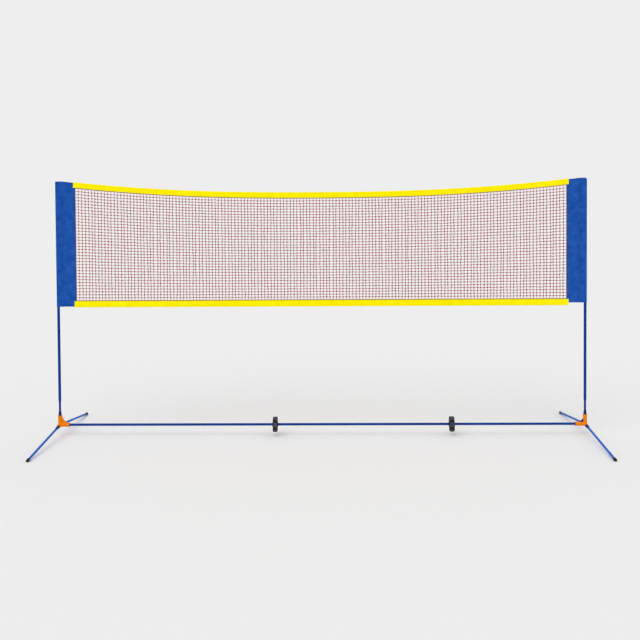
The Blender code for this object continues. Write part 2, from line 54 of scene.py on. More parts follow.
BAR_RADIUS, BAR_BORE, BAR_WALL = 0.0072, 0.0075, 0.0010
LEG_RADIUS, LEG_BORE, LEG_WALL = 0.0065, 0.0068, 0.0011
NECK_RADIUS, POST_BORE, NECK_TOP, NECK_TAPER = 0.0063, 0.0066, 0.081, 0.010
LOWER_RADIUS, LOWER_BORE, LOWER_WALL, LOWER_TOP = 0.0080, 0.0070, 0.0010, 0.907
FERRULE_LENGTH, FERRULE_WALL = 0.028, 0.0022
FERRULE_RIM, FERRULE_COLLAR, FERRULE_WAIST = (0.004, 0.0046), (0.0086, 0.008), 0.0005
POST_FERRULE_LENGTH, POST_FERRULE_WALL, POST_FERRULE_RIM = 0.024, 0.0020, 0.0007
CAP_LENGTH, CAP_WALL, CAP_END = 0.020, 0.0014, 0.0030
CAP_GROOVE, CAP_GROOVE_DEPTH = (0.008, 0.0085, 0.0105, 0.011), 0.0004
FOOT_HEIGHT = 0.0074
LEG_SLOPE = math.atan2(BAR_HEIGHT - FOOT_HEIGHT, LEG_REACH)
LEG_LENGTH = math.hypot(BAR_HEIGHT - FOOT_HEIGHT, LEG_REACH)

HUB_SEAT, LEG_SEAT = 0.0098, 0.0015
POST_MOUTH, BAR_MOUTH = 0.0558, 0.0568
POST_SOCKET, BAR_SOCKET, LEG_COLLAR = 0.0116, 0.0118, 0.0108
LEG_COLLAR_REACH = 0.032
LIP_LENGTH, LIP_HEIGHT, LIP_SLOPE, LIP_ROOT = 0.005, 0.0008, 0.0016, 0.001
LEAD_WIDTH, LEAD_START, LEAD_END, CUT_CLEAR = 0.0006, 0.0001, 0.0009, 0.004
CORE_RADIUS, CORE_DROP = 0.0132, 0.0106
WEB_THICKNESS, WEB_HEIGHT, WEB_HOLLOW = 0.008, 0.050, 2.2
WEB_SINK, WEB_MARGIN, WEB_SHELF = 0.004, 0.001, 0.0005
WEDGE_REACH, WEDGE_HEIGHT, WEDGE_TIP, WEDGE_BEVEL = 0.020, 0.018, 0.0025, 0.0006
HUB_VOXEL, HUB_SMOOTHING, HUB_THINNING, SLIVER = 0.0007, 9, 0.45, 0.00002

# How far corners are rounded, and steps round a turned piece
SOCKET_EASE, CORE_EASE, COLLAR_EASE, BORE_EASE, LIP_EASE = 0.0015, 0.0020, 0.0012, 0.0001, 0.0004
TUBE_EASE, NECK_EASE, FERRULE_EASE, POST_FERRULE_EASE, FLANGE_EASE = 0.0002, 0.0040, 0.0010, 0.0012, 0.0006
FINE_STEPS, STEPS = 64, 48

SLEEVE_WIDTH, SLEEVE_SEAM = 0.107, 0.028
SLEEVE_BOTTOM = {"left": 0.770, "right": 0.781}
SLEEVE_CORNER = {"left": 0.003, "right": 0.011}
SLEEVE_SLOPE_START = 0.030
CLOTH = 0.0010
POCKET_RADIUS = 0.0083
PANEL_HALF = 0.0012
PANEL_LOOSE, PANEL_HELD = (SLEEVE_SEAM, SLEEVE_SEAM + 0.018), (0.080, 0.094)
PANEL_SWAY, PANEL_SWELL, PANEL_FOLDS, PANEL_CLOSING = 0.0016, 0.0005, 0.0007, 0.008
HEM_SWELL, HEM_TOP, HEM_END, HEM_SEAM = 0.00025, (0.013, 0.016), (0.086, 0.092), 0.0145
EDGE_PULL, EDGE_PULL_START, POCKET_SLACK = 0.0007, 0.100, (0.004, 0.009)
PANEL_STEPS, FLANK_STEPS, POCKET_STEPS = 22, 8, 32
SLEEVE_ROWS = ((0, 0.03, 8), (0.03, 0.97, 130), (0.97, 1, 22))
SEAM_ROWS, LAP_ROW, TOP_ROW, CROSS_ROW_START = (0.0015, 0.0065), 0.0045, 0.009, 0.008

TAPE_HALF = 1.453
TAPE_CLOTH = 0.0010
TAPE_FOLD = 0.0025
TOP_EDGE, TOP_TAPE_HEIGHT, TOP_SAG, SAG_POWER = 1.506, 0.033, 0.069, 2.4
BOTTOM_EDGE, BOTTOM_TAPE_HEIGHT = 0.765, 0.037
FOLD_DEPTH = 0.0038
LAP = 0.010
TAPE_WANDER, TAPE_FRAY, TAPE_LEAN = 0.0005, 0.0003, 0.0011
TAPE_SWELL, TAPE_FOLDS, TAPE_SHEAR, TAPE_TURN = 0.0004, 0.0006, 0.6, 0.10
TAPE_STATIONS, TAPE_STEPS, FOLD_STEPS, TAPE_ROWS = 481, 9, 12, (0.0035, 0.0085)

# A stitch has a length, the gap to the next and a radius.
# Each of its rings has its place along it, and its girth and rise in radii.
SLEEVE_STITCH, TAPE_STITCH, STITCH_LIFT = (0.0027, 0.0013, 0.00032), (0.0030, 0.0015, 0.00034), 0.00012
STITCH_RINGS = ((0.0, 0.45, -0.5), (0.2, 1.0, 0.5), (0.8, 1.0, 0.5), (1.0, 0.45, -0.5))

# The fine net. The CAD model has a coarser grid in its place.
NET_HALF = 1.4427
NET_COLUMNS, NET_ROWS = 150, 37
TWINE_RADIUS, SELVAGE_RADIUS, EDGE_LINE_RADIUS = 0.00110, 0.0015, 0.0019
EDGE_LINE_INSET, TOP_TUCK, FOOT_TUCK, FOLD_ROOM = 0.0022, 0.0005, 0.0008, 0.006
NET_SEED, NET_DRIFT, NET_BELLY = 11, 0.00045, 0.0022
SPREAD_X, SPREAD_Y, SPREAD_Z = 0.00035, 0.00025, 0.00045
KNOT_LENGTH, KNOT_GIRTH, KNOT_FLATNESS, KNOT_SIDES = 0.0048, 0.0036, 0.90, 6
KNOT_LEAN, KNOT_LEAN_SPREAD, KNOT_SIZE_SPREAD = 45, 9, 0.08
KNOT_FULLNESS, KNOT_LUMPS = 0.98, 0.025

DISC_PLACES = {"left": -0.271, "right": 0.770}
DISC_RADIUS, DISC_NOTCH, DISC_THICKNESS, DISC_EDGE = 0.0450, 0.0080, 0.026, 0.0030
DISC_LOBES, DISC_LOBE_TILT, DISC_NOTCH_SHARPNESS, DISC_STEPS = 6, math.radians(7), 4, 216
DISC_HOLE_EDGE, DISC_GROOVE = 0.0008, ((0.016, 0), (0.012, 0.0004), (0.009, 0.0004), (0.006, 0))
DISC_SLEEVE_WALL, DISC_FLANGE_HEIGHT, DISC_FLANGE_LENGTH = 0.0032, 0.0016, 0.0045

SIDES = {"left": -1, "right": 1}
ENDS = {"front": -1, "back": 1}

# The camera as fitted to the photograph: focal length and principal row in pixels
PHOTO_SIDE, FOCAL_PIXELS, PRINCIPAL_ROW, SENSOR_WIDTH = 640, 801.98, 237.11, 36.0
CAMERA_PLACE = (0.0830, -4.7087, 1.2872)
CAMERA_YAW, CAMERA_TILT, CAMERA_ROLL = math.radians(-1.0), math.radians(1.395), math.radians(0.375)

# The stage's shade, and how much of the light is sky. The rest is sun.
PALE, SKY_STRENGTH = 0.8550, 0.72
SUN_HEIGHT, SUN_TURN, SUN_SPREAD = math.radians(50), math.radians(24), math.radians(50)
FLOOR_HALF, FLOOR_DROP = 40, 0.0002


# Materials

def linear(red, green, blue):
    """An sRGB colour of 0 to 255 as the linear colour that a shader takes."""
    shares = [value / 255 for value in (red, green, blue)]
    return tuple(s / 12.92 if s <= 0.04045 else ((s + 0.055) / 1.055) ** 2.4 for s in shares) + (1.0,)


def node(tree, kind, inputs=(), **settings):
    """Adds a node. Each input is a value or another node's output."""
    made = tree.nodes.new(kind)
    for key, value in settings.items():
        setattr(made, key, value)
    for key, value in dict(inputs).items():
        if isinstance(value, bpy.types.NodeSocket):
            tree.links.new(value, made.inputs[key])
        else:
            made.inputs[key].default_value = value
    return made


def math_node(tree, operation, first, second=0.0):
    return node(tree, "ShaderNodeMath", {0: first, 1: second}, operation=operation).outputs[0]


def noise_node(tree, vector, scale, detail, roughness=0.55):
    inputs = {"Vector": vector, "Scale": scale, "Detail": detail, "Roughness": roughness}
    return node(tree, "ShaderNodeTexNoise", inputs).outputs["Fac"]


def wave(tree, vector, pitch, direction):
    """Bands whose spacing follows the pitch."""
    inputs = {"Vector": vector, "Scale": 2 * math.pi / (20 * pitch)}
    return node(tree, "ShaderNodeTexWave", inputs, bands_direction=direction).outputs["Fac"]


def ramp(tree, factor, places, shade):
    """A colour ramp with the sRGB colours of a shade at its places."""
    made = node(tree, "ShaderNodeValToRGB", {"Fac": factor})
    elements = made.color_ramp.elements
    while len(elements) < len(shade):
        elements.new(0.5)
    for element, place, colour in zip(elements, places, shade):
        element.position = place
        element.color = linear(*colour)
    return made.outputs["Color"]


def mixed(tree, share, body, over):
    """A colour mixed towards an sRGB colour."""
    inputs = {0: share, 6: body, 7: linear(*over)}
    return node(tree, "ShaderNodeMix", inputs, data_type="RGBA").outputs[2]


def remap(tree, value, source, target):
    """A value of the source range, clamped, as one of the target range."""
    keys = ("Value", "From Min", "From Max", "To Min", "To Max")
    inputs = zip(keys, (value, *source, *target))
    return node(tree, "ShaderNodeMapRange", inputs, clamp=True).outputs["Result"]


def new_material(name, specular):
    made = bpy.data.materials.new(name)
    made.use_nodes = True
    tree = made.node_tree
    shader = tree.nodes["Principled BSDF"]
    shader.inputs["Specular IOR Level"].default_value = specular
    return made, tree, shader


def connect(tree, shader, colour, roughness, height, distance):
    """Feeds the shader its colour, roughness and bump height."""
    tree.links.new(colour, shader.inputs["Base Color"])
    tree.links.new(roughness, shader.inputs["Roughness"])
    bump = node(tree, "ShaderNodeBump", {"Height": height, "Distance": distance, "Strength": 1.0})
    tree.links.new(bump.outputs["Normal"], shader.inputs["Normal"])


def object_place(tree):
    return node(tree, "ShaderNodeTexCoord").outputs["Object"]


def painted(name, shade, worn):
    """Powder coat on tube: fine orange peel, faint streaks, and small dull rubs."""
    made, tree, shader = new_material(name, 0.08)
    place = object_place(tree)
    streaks = noise_node(tree, place, 9.0, 4.0)
    rubs = noise_node(tree, place, 55.0, 6.0, 0.7)
    body = ramp(tree, streaks, (0.30, 0.52, 0.74), shade)
    colour = mixed(tree, remap(tree, rubs, (0.66, 0.76), (0.0, 0.55)), body, worn)
    roughness = remap(tree, rubs, (0.35, 0.75), (0.34, 0.52))
    peel = noise_node(tree, place, 1100.0, 2.0)
    connect(tree, shader, colour, roughness, peel, 0.00004)
    return made


def moulded(name, shade, grain=0.00005, roughness=(0.40, 0.52), specular=0.30, seam=False):
    """Moulded plastic or rubber: fine grain, faint flow marks, and where asked the mould's parting line."""
    made, tree, shader = new_material(name, specular)
    place = object_place(tree)
    flow = noise_node(tree, place, 34.0, 5.0)
    fine = noise_node(tree, place, 1500.0, 2.0)
    colour = ramp(tree, flow, (0.28, 0.50, 0.76), shade)
    height = fine
    if seam:
        parts = node(tree, "ShaderNodeSeparateXYZ", {"Vector": place})
        distance = math_node(tree, "ABSOLUTE", parts.outputs["Y"])
        ridge = remap(tree, distance, (0.00015, 0.00035), (3.0, 0.0))
        height = math_node(tree, "ADD", fine, ridge)
    rough = remap(tree, flow, (0.3, 0.7), roughness)
    connect(tree, shader, colour, rough, height, grain)
    return made


def foam(name, shade, groove_shade):
    """Closed-cell rubber foam: small pits over a slowly changing tone, darkened down in its grooves with
    painted shade.

    Its UV map gives how deep in a groove each point lies.
    """
    made, tree, shader = new_material(name, 0.10)
    place = object_place(tree)
    groove = node(tree, "ShaderNodeUVMap", uv_map="groove").outputs["UV"]
    depth = node(tree, "ShaderNodeSeparateXYZ", {"Vector": groove}).outputs["X"]
    mottle = noise_node(tree, place, 30.0, 5.0, 0.65)
    body = ramp(tree, mottle, (0.30, 0.50, 0.70), shade)
    # Painted shade: the deeper a point lies in a groove, the more its colour turns to the dark groove
    # colour, unevenly with the mottle
    uneven = math_node(tree, "ADD", depth, math_node(tree, "MULTIPLY", mottle, 0.3))
    colour = mixed(tree, remap(tree, uneven, (0.10, 1.0), (0.0, 0.85)), body, groove_shade)
    cells = node(tree, "ShaderNodeTexVoronoi", {"Vector": place, "Scale": 850.0}).outputs["Distance"]
    rough = remap(tree, mottle, (0.3, 0.7), (0.78, 0.92))
    connect(tree, shader, colour, rough, cells, 0.00012)
    return made


def woven(name, shade, pitch, depth):
    """Plain-weave cloth. Its UV map is in metres along and across the cloth."""
    made, tree, shader = new_material(name, 0.03)
    cloth = node(tree, "ShaderNodeUVMap", uv_map="cloth").outputs["UV"]
    place = object_place(tree)
    warp = math_node(tree, "SUBTRACT", wave(tree, cloth, pitch, "X"), 0.5)
    weft = math_node(tree, "SUBTRACT", wave(tree, cloth, pitch, "Y"), 0.5)
    weave = math_node(tree, "MULTIPLY", warp, weft)
    patches = noise_node(tree, place, 26.0, 5.0, 0.62)
    slubs = noise_node(tree, cloth, 420.0, 3.0, 0.6)
    shift = math_node(tree, "MULTIPLY", weave, 0.35)
    threads = math_node(tree, "MULTIPLY", math_node(tree, "SUBTRACT", slubs, 0.5), 0.35)
    tone = math_node(tree, "ADD", math_node(tree, "ADD", patches, shift), threads)
    colour = ramp(tree, tone, (0.28, 0.50, 0.74), shade)
    rough = remap(tree, patches, (0.3, 0.7), (0.82, 0.95))
    connect(tree, shader, colour, rough, weave, depth)
    return made


def twisted(name, shade, pitch):
    """Twisted thread or twine: slanting strands over a slowly changing tone."""
    made, tree, shader = new_material(name, 0.03)
    place = object_place(tree)
    strands = wave(tree, place, pitch, "DIAGONAL")
    fuzz = noise_node(tree, place, 600.0, 3.0)
    patches = noise_node(tree, place, 40.0, 4.0)
    tone = math_node(tree, "ADD", patches, math_node(tree, "MULTIPLY", fuzz, 0.2))
    colour = ramp(tree, tone, (0.35, 0.60, 0.85), shade)
    rough = remap(tree, fuzz, (0.3, 0.7), (0.80, 0.95))
    connect(tree, shader, colour, rough, strands, 0.00015)
    return made


# Each shade is three sRGB colours, from dark to light
ORANGE = moulded("orange_moulding", [(228, 124, 2), (238, 132, 3), (243, 140, 8)], specular=0.10, seam=True)
NAVY = painted("navy_paint", [(2, 46, 124), (4, 56, 138), (8, 66, 150)], (26, 80, 158))
BLUE = painted("leg_paint", [(18, 86, 178), (30, 98, 190), (46, 112, 202)], (80, 134, 208))
DARK_NAVY = moulded("ferrule_plastic", [(5, 30, 84), (7, 38, 100), (12, 48, 114)], specular=0.10)
BLACK = moulded("black_plastic", [(28, 30, 36), (36, 38, 45), (46, 48, 56)])
RUBBER = moulded("cap_rubber", [(24, 25, 31), (31, 32, 39), (40, 41, 49)], 0.00008, (0.66, 0.82), 0.25)
# The foam's last colour is the painted shade down in the disc's grooves
FOAM = foam("disc_rubber", [(56, 55, 63), (68, 66, 76), (82, 80, 92)], (20, 21, 26))
YELLOW = woven("tape_fabric", [(250, 226, 2), (254, 240, 3), (255, 248, 20)], 0.0012, 0.00022)
SLEEVE_BLUE = woven("sleeve_fabric", [(14, 68, 154), (30, 82, 167), (44, 95, 177)], 0.0008, 0.00016)
MAROON = twisted("net_cord", [(142, 16, 22), (164, 25, 31), (182, 40, 44)], 0.0016)
CORD_BLUE = twisted("head_cord_twine", [(20, 70, 152), (34, 88, 172), (52, 104, 186)], 0.0012)
YELLOW_THREAD = twisted("tape_thread", [(226, 196, 4), (240, 214, 8), (250, 228, 20)], 0.0006)
BLUE_THREAD = twisted("sleeve_thread", [(10, 52, 128), (18, 64, 146), (30, 78, 162)], 0.0006)


# Mesh helpers

def new_object(name, data):
    obj = bpy.data.objects.new(name, data)
    bpy.context.scene.collection.objects.link(obj)
    return obj


def piece(name, mesh, material, body, slot, *nodes):
    """Adds a finished mesh as a piece that rides on a CAD body and stands for CAD nodes."""
    mesh.materials.clear()
    mesh.materials.append(material)
    obj = new_object(name, mesh)
    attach(obj, body)
    if nodes:
        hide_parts(*nodes)
    return obj


def stand_in(node_name, finish, mesh, material, body, slot):
    """Adds a piece that stands for one CAD node and is named after it."""
    piece(f"{node_name}_{finish}", mesh, material, body, slot, node_name)


def soften(mesh, degrees):
    """Smooth shading, with edges kept sharp that turn by more."""
    mesh.shade_smooth()
    mesh.set_sharp_from_angle(angle=math.radians(degrees))


def raw_mesh(points, faces):
    mesh = bpy.data.meshes.new("mesh")
    mesh.from_pydata(points, [], faces)
    return mesh


def mesh_from(points, faces, degrees=32):
    mesh = raw_mesh([tuple(p) for p in points], [tuple(f) for f in faces])
    mesh.validate()
    soften(mesh, degrees)
    return mesh


def eased(profile, radius, closed):
    """The profile with its corners rounded, apart from points on the axis."""
    count = len(profile)
    points = []
    for index, corner in enumerate(profile):
        corner = Vector(corner)
        at_end = not closed and index in (0, count - 1)
        if at_end or corner.x == 0:
            points.append(tuple(corner))
            continue
        a = Vector(profile[index - 1]) - corner
        b = Vector(profile[(index + 1) % count]) - corner
        reach = min(radius, 0.45 * a.length, 0.45 * b.length)
        start = corner + a.normalized() * reach
        end = corner + b.normalized() * reach
        for step in range(4):
            t = step / 3
            points.append(tuple(start * (1 - t) ** 2 + corner * 2 * t * (1 - t) + end * t ** 2))
    return points


def turned(profile, matrix, ease, steps=FINE_STEPS):
    """A turned solid about local Z, as points and faces.

    Its profile runs down the outer side, then up the bore.
    """
    closed = profile[0][0] > 0
    line = eased(profile, ease, closed)
    points, rings = [], []
    for radius, height in line:
        if radius == 0:
            rings.append([len(points)] * steps)
            points.append(matrix @ Vector((0, 0, height)))
        else:
            rings.append(list(range(len(points), len(points) + steps)))
            for step in range(steps):
                angle = 2 * math.pi * step / steps
                points.append(matrix @ Vector((radius * math.cos(angle), radius * math.sin(angle), height)))
    faces = []
    for index in range(len(rings) if closed else len(rings) - 1):
        upper, lower = rings[index], rings[(index + 1) % len(rings)]
        for step in range(steps):
            after = (step + 1) % steps
            face = [upper[step], lower[step], lower[after], upper[after]]
            face = [f for i, f in enumerate(face) if f != face[i - 1]]
            if len(face) > 2:
                faces.append(face)
    return points, faces


def lathe(profile, matrix, ease, steps=STEPS):
    return mesh_from(*turned(profile, matrix, ease, steps))


def add_uv(mesh, place_of, name="cloth"):
    """A UV map. For cloth, place_of gives each point's place on the flat cloth in metres."""
    layer = mesh.uv_layers.new(name=name)
    corners = np.zeros(len(mesh.loops), np.int32)
    mesh.loops.foreach_get("vertex_index", corners)
    layer.data.foreach_set("uv", np.array(place_of, np.float32)[corners].ravel())


def baked(obj):
    """The object's mesh with its modifiers applied. The object is removed."""
    graph = bpy.context.evaluated_depsgraph_get()
    mesh = bpy.data.meshes.new_from_object(obj.evaluated_get(graph))
    bpy.data.objects.remove(obj)
    return mesh


def joined(parts):
    """Several (points, faces) lists as one mesh."""
    points, faces = [], []
    for more_points, more_faces in parts:
        start = len(points)
        points += list(more_points)
        faces += [[start + i for i in face] for face in more_faces]
    return raw_mesh([tuple(p) for p in points], faces)


def at(x, y, z):
    return Matrix.Translation((x, y, z))


def hub_place(side):
    return at(SIDES[side] * POST_X, 0, BAR_HEIGHT)


def along_bar(side):
    """Local +Z points from a hub along the bar."""
    return hub_place(side) @ Matrix.Rotation(-SIDES[side] * math.pi / 2, 4, "Y")


def along_leg(side, end):
    """Local +Z points out along a leg, down to the floor."""
    return hub_place(side) @ Matrix.Rotation(-ENDS[end] * (math.pi / 2 + LEG_SLOPE), 4, "X")


def ripple(x, z, seed, scale_x, scale_z):
    """Smooth noise from -1 to 1 over a sheet of cloth. Each seed reads another part of the noise."""
    return noise.noise(Vector((x * scale_x + 7.3 * seed, 3.1 * seed, z * scale_z)))


def ease_step(value, low, high):
    t = min(1.0, max(0.0, (value - low) / (high - low)))
    return t * t * (3 - 2 * t)


def sag(x):
    """How far the top tape hangs below its ends."""
    return TOP_SAG * (1 - min(1.0, abs(x) / TAPE_HALF) ** SAG_POWER)


# Hubs

def corner_plate(side, corner, far, shelf, crest, high):
    """A hollow-edged plate in a hub's corner between post socket and bar socket, as points and faces."""
    steps = 24
    outline = [corner, (far, corner[1])]
    for step in range(steps + 1):
        share = step / steps
        outline.append((far - (far - crest) * share, shelf + (high - shelf) * share ** WEB_HOLLOW))
    outline.append((corner[0], high))
    half = WEB_THICKNESS / 2
    count = len(outline)
    place = hub_place(side) @ Matrix.Diagonal((-SIDES[side], 1, 1, 1))
    layers = (half * SIDES[side], -half * SIDES[side])
    points = [place @ Vector((x, y, z)) for y in layers for x, z in outline]
    faces = [list(range(count)), list(range(2 * count - 1, count - 1, -1))]
    for index in range(count):
        after = (index + 1) % count
        faces.append([after, index, index + count, after + count])
    return points, faces


def combined(obj, operation, parts):
    """An object with parts, which don't touch each other, united with it or cut from it."""
    tool = new_object("tool", joined(parts))
    modifier = obj.modifiers.new("combine", "BOOLEAN")
    modifier.operation = operation
    modifier.object = tool
    modifier.solver = "EXACT"
    result = new_object("work", baked(obj))
    bpy.data.objects.remove(tool)
    return result


def clear_slivers(mesh):
    """Merges points that lie on each other and drops faces with no area."""
    work = bmesh.new()
    work.from_mesh(mesh)
    bmesh.ops.remove_doubles(work, verts=work.verts, dist=SLIVER)
    bmesh.ops.dissolve_degenerate(work, edges=work.edges, dist=SLIVER)
    work.to_mesh(mesh)
    work.free()


def rod_profile(radius, top, bottom):
    return [(0, top), (radius, top), (radius, bottom), (0, bottom)]


def lip_profile(outer, bore, mouth):
    """The raised ring at a socket's mouth."""
    high = outer + LIP_HEIGHT
    foot = (outer - LIP_ROOT, mouth - LIP_LENGTH - LIP_SLOPE)
    return [(high, mouth), (high, mouth - LIP_LENGTH), foot, (bore + LIP_ROOT, mouth)]


def bore_profile(radius, seat, mouth):
    """A bore with a lead-in at its mouth."""
    lead = radius + LEAD_WIDTH
    outside = [(0, mouth + CUT_CLEAR), (lead, mouth + CUT_CLEAR)]
    return outside + [(lead, mouth - LEAD_START), (radius, mouth - LEAD_END), (radius, seat), (0, seat)]


def make_hub(side):
    """One moulding: sockets, collars and core run together with fillets, then the bores are cut."""
    centre = hub_place(side)
    post = (centre, POST_SOCKET, POST_BORE, POST_MOUTH)
    bar = (along_bar(side), BAR_SOCKET, BAR_BORE, BAR_MOUTH)
    parts, bores, lips = [], [], []
    for matrix, outer, bore, mouth in (post, bar):
        parts.append(turned(rod_profile(outer, mouth, -LEG_BORE), matrix, SOCKET_EASE))
        bores.append(turned(bore_profile(bore, HUB_SEAT, mouth), matrix, BORE_EASE))
        lips.append(turned(lip_profile(outer, bore, mouth), matrix, LIP_EASE))
    core = rod_profile(CORE_RADIUS, CORE_DROP, -CORE_DROP)
    parts.append(turned(core, centre, CORE_EASE))
    collar = rod_profile(LEG_COLLAR, LEG_COLLAR_REACH, -LEG_SEAT)
    leg_bore = bore_profile(LEG_BORE, LEG_SEAT, LEG_COLLAR_REACH)
    for end in ENDS:
        matrix = along_leg(side, end)
        parts.append(turned(collar, matrix, COLLAR_EASE))
        bores.append(turned(leg_bore, matrix, BORE_EASE))
    if side == "left":
        corner = (POST_SOCKET - WEB_SINK, BAR_SOCKET - WEB_SINK)
        far = BAR_MOUTH - LIP_LENGTH - WEB_MARGIN
        parts.append(corner_plate(side, corner, far, BAR_SOCKET - WEB_SHELF, POST_SOCKET, WEB_HEIGHT))
    obj = new_object("hub", joined(parts))
    remesh = obj.modifiers.new("remesh", "REMESH")
    remesh.mode = "VOXEL"
    remesh.voxel_size = HUB_VOXEL
    smooth = obj.modifiers.new("fillets", "SMOOTH")
    smooth.factor = 0.5
    smooth.iterations = HUB_SMOOTHING
    thin = obj.modifiers.new("thin", "DECIMATE")
    thin.ratio = HUB_THINNING
    obj = new_object("work", baked(obj))
    obj = combined(obj, "UNION", lips)
    obj = combined(obj, "DIFFERENCE", bores)
    mesh = obj.data
    bpy.data.objects.remove(obj)
    clear_slivers(mesh)
    soften(mesh, 38)
    stand_in("hub_" + side, "moulding", mesh, ORANGE, "frame", "hub_moulding")


def make_wedge(side):
    """The loose wedge in the corner of the hub that has no web."""
    near, low = POST_SOCKET + GAP, BAR_SOCKET + GAP
    far, high = near + WEDGE_REACH, low + WEDGE_HEIGHT
    plate = corner_plate(side, (near, low), far, low + WEDGE_TIP, near + WEDGE_TIP, high)
    obj = new_object("wedge", joined([plate]))
    bevel = obj.modifiers.new("edge", "BEVEL")
    bevel.width = WEDGE_BEVEL
    bevel.segments = 3
    bevel.limit_method = "ANGLE"
    bevel.angle_limit = math.radians(40)
    mesh = baked(obj)
    soften(mesh, 40)
    stand_in("corner_wedge_" + side, "moulded", mesh, DARK_NAVY, "frame", "ferrule_plastic")


# Tubes, ferrules and caps

def make_bar():
    """Four tubes end to end, each with its rims eased."""
    bore = BAR_RADIUS - BAR_WALL
    for index in range(4):
        low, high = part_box(f"bar_tube_{index + 1}")
        length = high.x - low.x
        profile = [(BAR_RADIUS, length), (BAR_RADIUS, 0), (bore, 0), (bore, length)]
        matrix = at(low.x, 0, BAR_HEIGHT) @ Matrix.Rotation(math.pi / 2, 4, "Y")
        mesh = lathe(profile, matrix, TUBE_EASE)
        stand_in(f"bar_tube_{index + 1}", "painted", mesh, NAVY, "frame", "frame_paint")


def make_leg(side, end):
    """A leg tube with its ferrule and foot cap."""
    tag = f"{end}_{side}"
    body = "leg_" + tag
    matrix = along_leg(side, end)

    low, high = LEG_SEAT + GAP, LEG_LENGTH - CAP_END - GAP
    inner = LEG_RADIUS - LEG_WALL
    profile = [(LEG_RADIUS, high), (LEG_RADIUS, low), (inner, low), (inner, high)]
    mesh = lathe(profile, matrix, TUBE_EASE)
    stand_in("leg_tube_" + tag, "painted", mesh, BLUE, body, "leg_paint")

    low = LEG_COLLAR_REACH + GAP
    high = low + FERRULE_LENGTH
    outer = LEG_BORE + FERRULE_WALL
    waist = outer - FERRULE_WAIST
    profile = [(outer, high), (outer, high - FERRULE_RIM[0]), (waist, high - FERRULE_RIM[1])]
    profile += [(waist, low + FERRULE_COLLAR[0]), (outer, low + FERRULE_COLLAR[1])]
    profile += [(outer, low), (LEG_BORE, low), (LEG_BORE, high)]
    mesh = lathe(profile, matrix, FERRULE_EASE)
    stand_in("leg_ferrule_" + tag, "moulded", mesh, DARK_NAVY, body, "ferrule_plastic")

    outer = LEG_BORE + CAP_WALL
    waist = outer - CAP_GROOVE_DEPTH
    open_end = LEG_LENGTH - CAP_LENGTH
    profile = [(0, LEG_LENGTH), (outer, LEG_LENGTH)]
    profile += [(r, LEG_LENGTH - up) for r, up in zip((outer, waist, waist, outer), CAP_GROOVE)]
    profile += [(outer, open_end), (LEG_BORE, open_end)]
    profile += [(LEG_BORE, LEG_LENGTH - CAP_END), (0, LEG_LENGTH - CAP_END)]
    points, faces = turned(profile, matrix, FERRULE_EASE)
    # The cap is flat where it stands
    points = [Vector((p.x, p.y, max(p.z, 0.0))) for p in points]
    mesh = mesh_from(points, faces)
    stand_in("foot_cap_" + tag, "moulded", mesh, RUBBER, body, "cap_rubber")


def make_post(side):
    """The lower post tube with its thin foot, and the collar above the hub."""
    x = SIDES[side] * POST_X
    foot = BAR_HEIGHT + HUB_SEAT + GAP
    neck = BAR_HEIGHT + POST_MOUTH + NECK_TOP
    shoulder = neck + NECK_TAPER
    bore = NECK_RADIUS - LOWER_WALL
    profile = [(LOWER_RADIUS, LOWER_TOP), (LOWER_RADIUS, shoulder), (NECK_RADIUS, neck), (NECK_RADIUS, foot)]
    profile += [(bore, foot), (bore, neck), (LOWER_BORE, shoulder), (LOWER_BORE, LOWER_TOP)]
    mesh = lathe(profile, at(x, 0, 0), NECK_EASE)
    stand_in("post_lower_" + side, "painted", mesh, NAVY, "frame", "frame_paint")

    low = BAR_HEIGHT + POST_MOUTH + GAP
    high = low + POST_FERRULE_LENGTH
    outer = POST_BORE + POST_FERRULE_WALL
    rim = POST_BORE + POST_FERRULE_RIM
    profile = [(rim, high), (outer, (low + high) / 2), (outer, low), (POST_BORE, low), (POST_BORE, high)]
    mesh = lathe(profile, at(x, 0, 0), POST_FERRULE_EASE)
    stand_in("post_ferrule_" + side, "moulded", mesh, DARK_NAVY, "frame", "ferrule_plastic")


# Discs

